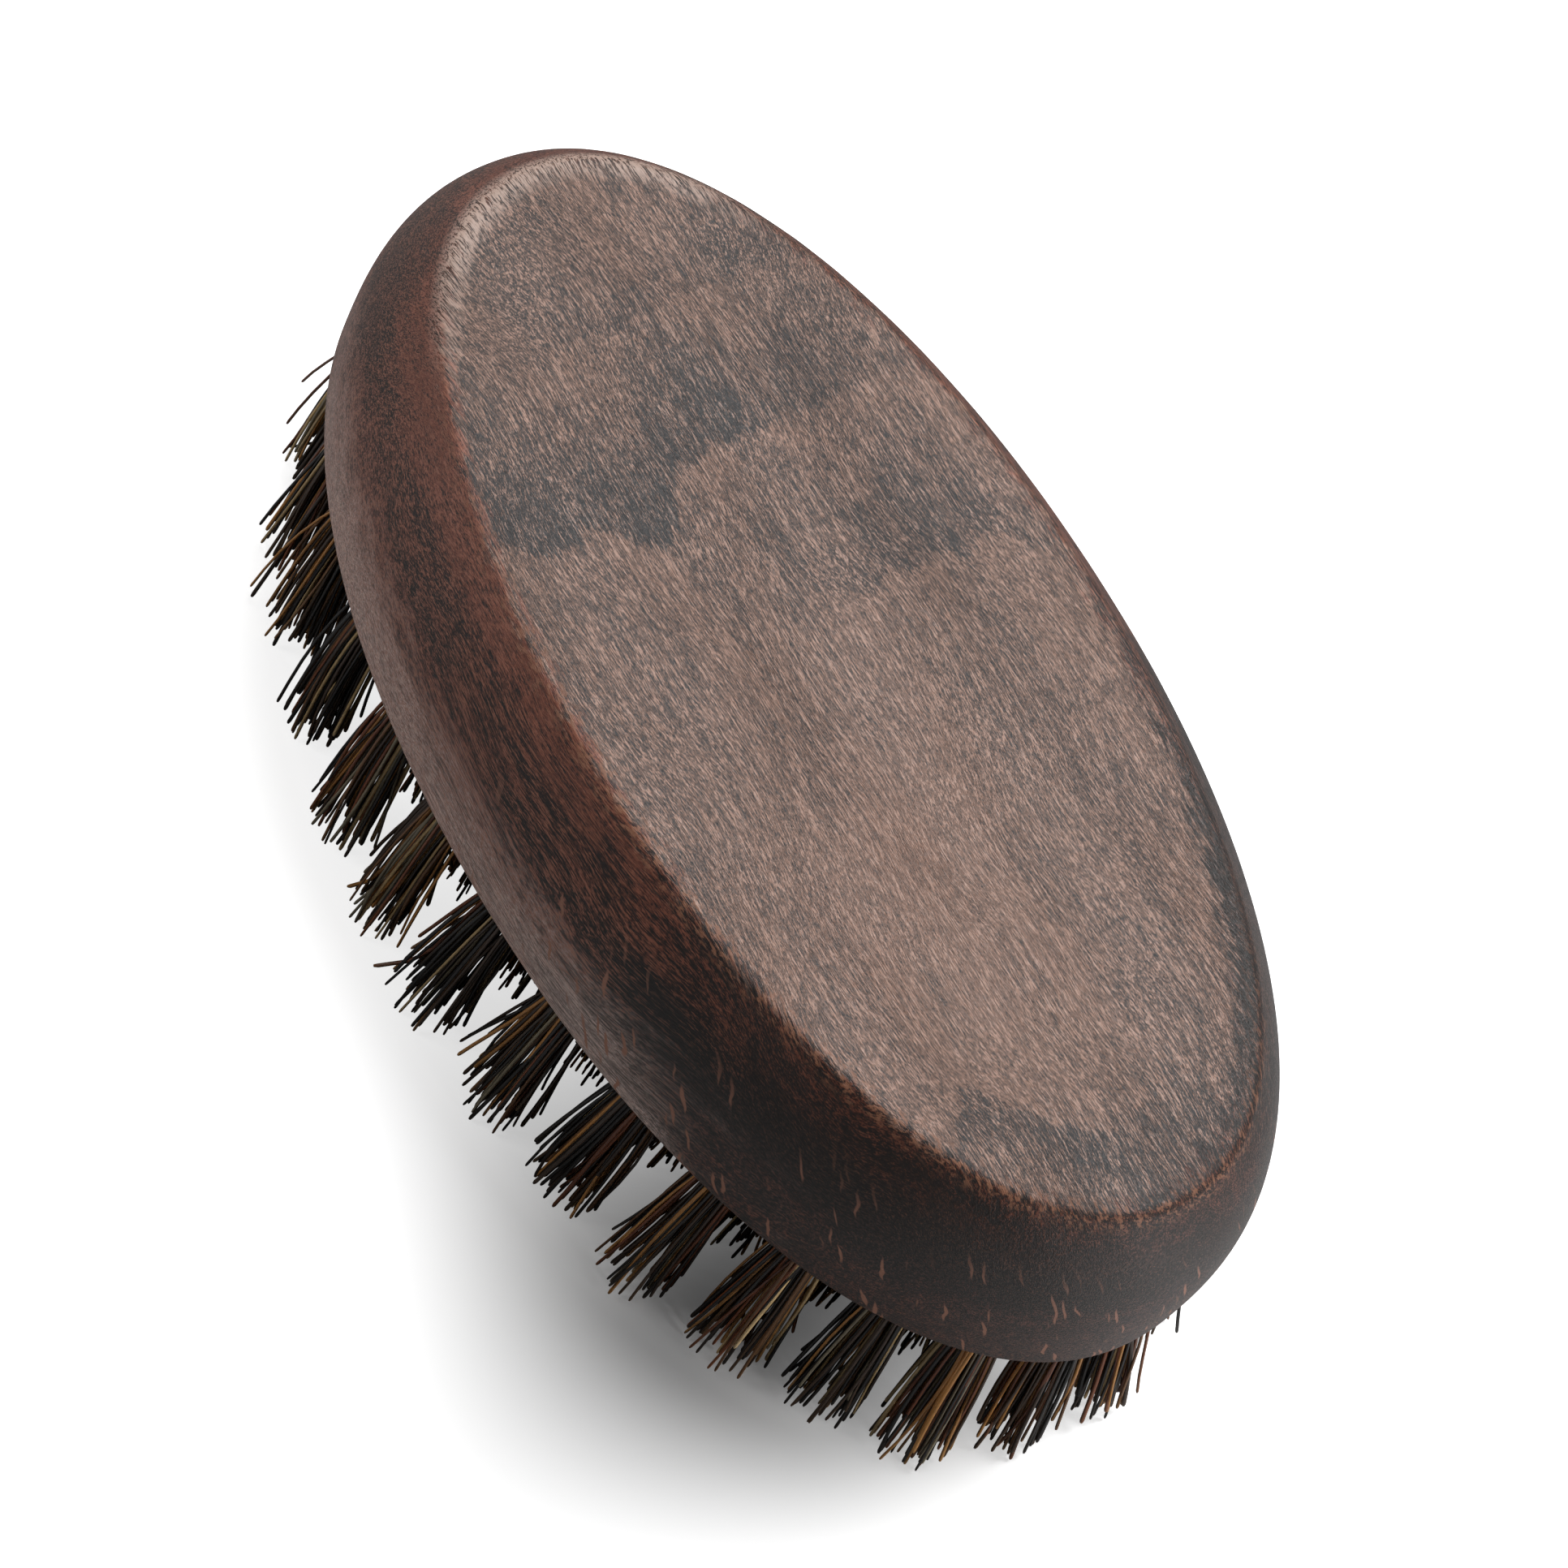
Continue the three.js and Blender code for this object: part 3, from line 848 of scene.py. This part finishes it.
def wood_block(tufts):
    profile = block_profile()
    rings = [np.column_stack([outline(i), np.full(OUTLINE_POINTS, UNDERSIDE + r)]) for i, r in profile]
    points = wear_edges(np.concatenate(rings))
    faces = rings_to_faces(len(rings), OUTLINE_POINTS)
    faces.append(tuple(range(OUTLINE_POINTS - 1, -1, -1)))
    material = StainedWood().finished()
    block = add_piece("stained_block", points, faces, material, ["wood_block"])
    closed = bmesh.new()
    closed.from_mesh(block.data)
    bmesh.ops.remove_doubles(closed, verts=closed.verts, dist=TINY * METRES)
    closed.to_mesh(block.data)
    closed.free()
    cut_holes(block, tufts)
    store_from_arris(block.data)
    block.data.set_sharp_from_angle(angle=math.radians(SHARP_ON_BLOCK))


# Bristles


def disc_points(rng, count, radius):
    """Points spread evenly over a disc, sunflower fashion, each nudged a little."""
    number = np.arange(count) + 0.5
    golden = math.pi * (3 - math.sqrt(5))
    turn = number * golden + rng.uniform(0, 2 * math.pi)
    reach = radius * np.sqrt(number / count)
    spots = np.stack([reach * np.cos(turn), reach * np.sin(turn)], 1)
    return spots + rng.normal(0, PACKING_JITTER, spots.shape)


def leg_tips(rng, packed):
    """Where each leg ends across the tuft, from where it stands in the hole's mouth."""
    spread = packed * TIP_SPREAD * rng.uniform(*LEG_SPREAD)
    locks = rng.normal(0, LOCK_SPREAD, (LOCKS_PER_TUFT, 2)) * PACKED_RADIUS * TIP_SPREAD
    nearest = np.linalg.norm(spread[:, None] - locks[None], axis=2).argmin(1)
    tips = spread + (locks[nearest] - spread) * LOCK_PULL * rng.uniform(*LOCK_PULL_RANGE, (len(packed), 1))
    tips += rng.normal(0, TIP_JITTER, tips.shape)
    strays = rng.random(len(packed)) < STRAY_SHARE
    tips[strays] += np.clip(rng.normal(0, STRAY_JITTER, (strays.sum(), 2)), -STRAY_LIMIT, STRAY_LIMIT)
    tips += rng.normal(0, TUFT_JITTER, 2)
    return tips, strays


def leg_paths(rng, tuft, packed):
    """Each leg's centreline from the fold down to the tip: (legs, points, 3)."""
    mouth, outward, sideways, towards_tips = tuft_axes(tuft["place"], tuft["splay"])
    tips, strays = leg_tips(rng, packed)
    legs = len(packed)
    tip_height = LOWEST_TIP + np.abs(rng.normal(0, TIP_LIFT, legs))
    tip_height += np.where(rng.random(legs) < SHORT_SHARE, rng.uniform(*SHORT_LIFT, legs), 0)
    tip_height += np.where(strays, rng.uniform(*STRAY_LIFT, legs), 0)
    across = tips[:, :1] * outward + tips[:, 1:] * sideways
    length = (UNDERSIDE - tip_height + across[:, 2]) / -towards_tips[2]
    bow = rng.normal(0, BOW, (legs, 2))
    bent = BENT_REACH * np.clip((BENT_FROM - mouth[0]) / (BENT_FROM - BENT_FULLY), 0, 1)
    hooked = rng.random((legs, 1)) < HOOKED_SHARE
    hook = np.where(hooked, rng.normal(0, HOOKED_BY, (legs, 2)), rng.normal(0, OTHERS_HOOKED_BY, (legs, 2)))
    rows = []
    for share in LEG_STATIONS:
        open_share = max(share, 0.0)
        hook_share = max(0.0, share - HOOK_FROM) / (1 - HOOK_FROM)
        offset = packed + (tips - packed) * open_share**OPENING_POWER
        offset = offset + bow * math.sin(math.pi * open_share) + hook * hook_share**2
        reach = share * length if share > 0 else np.full(legs, -share / FOLD_SHARE * FOLD_DEPTH)
        leg = mouth + offset[:, :1] * outward + offset[:, 1:] * sideways + reach[:, None] * towards_tips
        rows.append(leg + np.array([bent * open_share**BEND_POWER, 0.0, 0.0]))
    paths = np.stack(rows, 1)
    paths[..., 2] = np.maximum(paths[..., 2], LOWEST_TIP)
    return paths


def hair_paths(rng, tuft):
    """Centrelines of whole hairs, tip to fold to tip. The anchor wire lies along the tuft's sideways axis."""
    packed = disc_points(rng, 2 * HAIRS_PER_TUFT, PACKED_RADIUS)
    packed = packed[np.argsort(packed[:, 0])]
    near, far = packed[:HAIRS_PER_TUFT], packed[HAIRS_PER_TUFT:]
    near = near[np.argsort(near[:, 1])]
    far = far[np.argsort(far[:, 1])]
    legs = leg_paths(rng, tuft, np.concatenate([near, far]))
    first, second = legs[:HAIRS_PER_TUFT], legs[HAIRS_PER_TUFT:]
    towards_tips = tuft_axes(tuft["place"], tuft["splay"])[3]
    over = (first[:, :1] + second[:, :1]) / 2 - towards_tips * FOLD_RISE
    return np.concatenate([first[:, ::-1], over, second], 1)


def hair_tubes(paths, radii, side_hint):
    """Points and faces of closed tubes along the paths. side_hint is never along a path."""
    hairs, stations, _ = paths.shape
    ahead = np.gradient(paths, axis=1)
    ahead /= np.linalg.norm(ahead, axis=2)[..., None]
    across = side_hint - ahead * (ahead @ side_hint)[..., None]
    across /= np.linalg.norm(across, axis=2)[..., None]
    upright = np.cross(ahead, across)
    turn = np.linspace(0, 2 * math.pi, HAIR_SIDES, endpoint=False)
    circle = across[:, :, None] * np.cos(turn)[:, None] + upright[:, :, None] * np.sin(turn)[:, None]
    points = paths[:, :, None] + circle * radii[:, :, None, None]
    pattern = rings_to_faces(stations, HAIR_SIDES)
    pattern.append(tuple(range(HAIR_SIDES - 1, -1, -1)))
    last = (stations - 1) * HAIR_SIDES
    pattern.append(tuple(range(last, last + HAIR_SIDES)))
    step = stations * HAIR_SIDES
    faces = [tuple(hair * step + i for i in face) for hair in range(hairs) for face in pattern]
    return points.reshape(-1, 3), faces


def hair_radii(rng, hairs, stations):
    """A hair is thickest at its root end and thinner at its other end, with both ends cut and rounded."""
    root = rng.uniform(*HAIR_RADIUS, (hairs, 1))
    taper = np.linspace(1.0, rng.uniform(*TAPER, hairs), stations, axis=1)
    ends = np.ones(stations)
    ends[[0, -1]] = CUT_END
    return root * taper * ends


def hair_colours(rng, hairs, stations):
    """Each hair's colour along its length, paler towards its cut ends: (hairs, stations, 4)."""
    shares = np.array([kind["share"] for kind in HAIR_COLOURS], float)
    kinds = rng.choice(len(HAIR_COLOURS), hairs, p=shares / shares.sum())
    base = np.array([HAIR_COLOURS[kind]["hair"] for kind in kinds])
    tip = np.array([HAIR_COLOURS[kind]["tip"] for kind in kinds])
    from_middle = np.abs(np.linspace(-1, 1, stations))[None, :, None]
    paling = from_middle ** rng.uniform(*PALING_POWER, (hairs, 1, 1)) * rng.uniform(*PALING, (hairs, 1, 1))
    colour = base[:, None] * (1 - paling) + tip[:, None] * paling
    colour *= rng.uniform(*HAIR_BRIGHTNESS, (hairs, 1, 1))
    return np.concatenate([colour, np.ones((hairs, stations, 1))], 2)


def bristle_tuft(tuft, number, material):
    rng = np.random.default_rng(RANDOM_SEED + number)
    paths = hair_paths(rng, tuft)
    hairs, stations, _ = paths.shape
    sideways = tuft_axes(tuft["place"], tuft["splay"])[2]
    points, faces = hair_tubes(paths, hair_radii(rng, hairs, stations), sideways)
    name = f"{tuft['ring']}_bristles_{tuft['index'] + 1:02d}"
    cad_node = cad_node_of(tuft["ring"], tuft["index"])
    piece = add_piece(name, points, faces, material, [cad_node])
    colours = np.repeat(hair_colours(rng, hairs, stations), HAIR_SIDES, axis=1)
    made = piece.data.attributes.new("hair_colour", "FLOAT_COLOR", "POINT")
    made.data.foreach_set("color", colours.ravel())


# Anchors


def anchor_wire(tuft):
    """One short flat wire, standing on edge across its hole, with its corners taken off."""
    mouth, outward, sideways, towards_tips = tuft_axes(tuft["place"], tuft["splay"])
    centre = mouth - towards_tips * (FOLD_DEPTH - ANCHOR_HEIGHT / 2)
    thick, tall = ANCHOR_THICKNESS / 2, ANCHOR_HEIGHT / 2
    corner = thick * ANCHOR_CORNER
    section = []
    for side, end in ((1, 1), (1, -1), (-1, -1), (-1, 1)):
        pair = [(side * thick, end * (tall - corner)), (side * (thick - corner), end * tall)]
        section.extend(pair if side == end else pair[::-1])
    section = section[::-1]
    points = []
    for share, pinch in ANCHOR_STATIONS:
        for across, along in section:
            place = centre + sideways * share * ANCHOR_LENGTH / 2 + outward * across * pinch
            points.append(place - towards_tips * along * pinch)
    return points, len(section)


def anchors(ring, tufts, material):
    """All the anchors of one ring, each a closed solid of its own."""
    points, faces = [], []
    for tuft in tufts:
        wire, sides = anchor_wire(tuft)
        stations = len(wire) // sides
        first = len(points)
        faces.extend([tuple(first + i for i in face) for face in rings_to_faces(stations, sides)])
        faces.append(tuple(range(first + sides - 1, first - 1, -1)))
        faces.append(tuple(range(first + len(wire) - sides, first + len(wire))))
        points.extend(wire)
    piece = add_piece(f"{ring}_anchors", points, faces, material, [])
    tidy = bmesh.new()
    tidy.from_mesh(piece.data)
    bmesh.ops.recalc_face_normals(tidy, faces=tidy.faces)
    tidy.to_mesh(piece.data)
    tidy.free()
    piece.data.set_sharp_from_angle(angle=math.radians(SHARP_ON_ANCHOR))


# Stage, light and camera


def camera_axes():
    """The camera's (right, up, back) in the CAD frame."""
    azimuth, elevation, roll = (math.radians(a) for a in (CAMERA_AZIMUTH, CAMERA_ELEVATION, CAMERA_ROLL))
    level = math.cos(elevation)
    back = Vector((math.sin(azimuth) * level, -math.cos(azimuth) * level, math.sin(elevation)))
    right = (-back).cross(Vector((0, 0, 1))).normalized()
    up = back.cross(right)
    turned_right = right * math.cos(roll) + up * math.sin(roll)
    turned_up = up * math.cos(roll) - right * math.sin(roll)
    return turned_right, turned_up, back


def add_camera():
    right, up, back = camera_axes()
    aim = Vector((0, 0, UNDERSIDE + AIM_ABOVE_UNDERSIDE)) + right * AIM_RIGHT + up * AIM_UP
    data = bpy.data.cameras.new("camera")
    data.lens = CAMERA_LENS
    data.sensor_width = SENSOR_WIDTH
    data.clip_start = CLIP_START * METRES
    camera = bpy.data.objects.new("camera", data)
    bpy.context.scene.collection.objects.link(camera)
    turn = Matrix((right, up, back)).transposed().to_4x4()
    camera.matrix_world = Matrix.Translation((aim + back * CAMERA_DISTANCE) * METRES) @ turn
    bpy.context.scene.camera = camera


def add_softbox(name, place, aim, size, power):
    """A square area light that the camera doesn't see."""
    data = bpy.data.lights.new(name, "AREA")
    data.size = size * METRES
    data.energy = power
    lamp = bpy.data.objects.new(name, data)
    bpy.context.scene.collection.objects.link(lamp)
    lamp.location = Vector(place) * METRES
    lamp.rotation_euler = (Vector(aim) - Vector(place)).to_track_quat("-Z", "Y").to_euler()
    lamp.visible_camera = False


def add_stage():
    size = FLOOR_HALF_SIZE
    corners = [(-size, -size, 0), (size, -size, 0), (size, size, 0), (-size, size, 0)]
    mesh = bpy.data.meshes.new("floor")
    mesh.from_pydata((np.array(corners) * METRES).tolist(), [], [(0, 1, 2, 3)])
    mesh.materials.append(pale_floor())
    floor = bpy.data.objects.new("floor", mesh)
    bpy.context.scene.collection.objects.link(floor)


def add_sky():
    """A dome that is bright above and dim at the horizon, and plain pale grey to the camera."""
    world = bpy.data.worlds.new("studio")
    world.use_nodes = True
    nodes, links = world.node_tree.nodes, world.node_tree.links
    direction = nodes.new("ShaderNodeTexCoord").outputs["Generated"]
    height = nodes.new("ShaderNodeSeparateXYZ")
    links.new(direction, height.inputs[0])
    dome = nodes.new("ShaderNodeMapRange")
    links.new(height.outputs["Z"], dome.inputs["Value"])
    dome.inputs["From Min"].default_value = 0.0
    dome.inputs["From Max"].default_value = ZENITH_FROM
    dome.inputs["To Min"].default_value = HORIZON_LIGHT
    dome.inputs["To Max"].default_value = ZENITH_LIGHT
    seen = nodes.new("ShaderNodeLightPath").outputs["Is Camera Ray"]
    either = nodes.new("ShaderNodeMix")
    links.new(seen, either.inputs[0])
    links.new(dome.outputs["Result"], either.inputs[2])
    either.inputs[3].default_value = SEEN_SKY
    links.new(either.outputs[0], nodes["Background"].inputs["Strength"])
    bpy.context.scene.world = world


def add_key():
    """A big soft source high above the far side, mirrored most strongly by the near half of the flat top."""
    data = bpy.data.lights.new("key", "SUN")
    data.energy = KEY_STRENGTH
    data.angle = math.radians(KEY_WIDTH)
    lamp = bpy.data.objects.new("key", data)
    bpy.context.scene.collection.objects.link(lamp)
    lamp.rotation_euler = Vector(KEY_DIRECTION).to_track_quat("Z", "Y").to_euler()


def add_light():
    add_key()
    add_sky()
    for name, box in SOFTBOXES.items():
        add_softbox(name, **box)
    bpy.context.scene.view_settings.view_transform = "Standard"


tufts = all_tufts()
add_camera()
add_stage()
add_light()
wood_block(tufts)
hair_material = boar_bristle()
for number, tuft in enumerate(tufts):
    bristle_tuft(tuft, number, hair_material)
wire_material = brass_wire()
for ring in [*RINGS, "centre"]:
    anchors(ring, [tuft for tuft in tufts if tuft["ring"] == ring], wire_material)
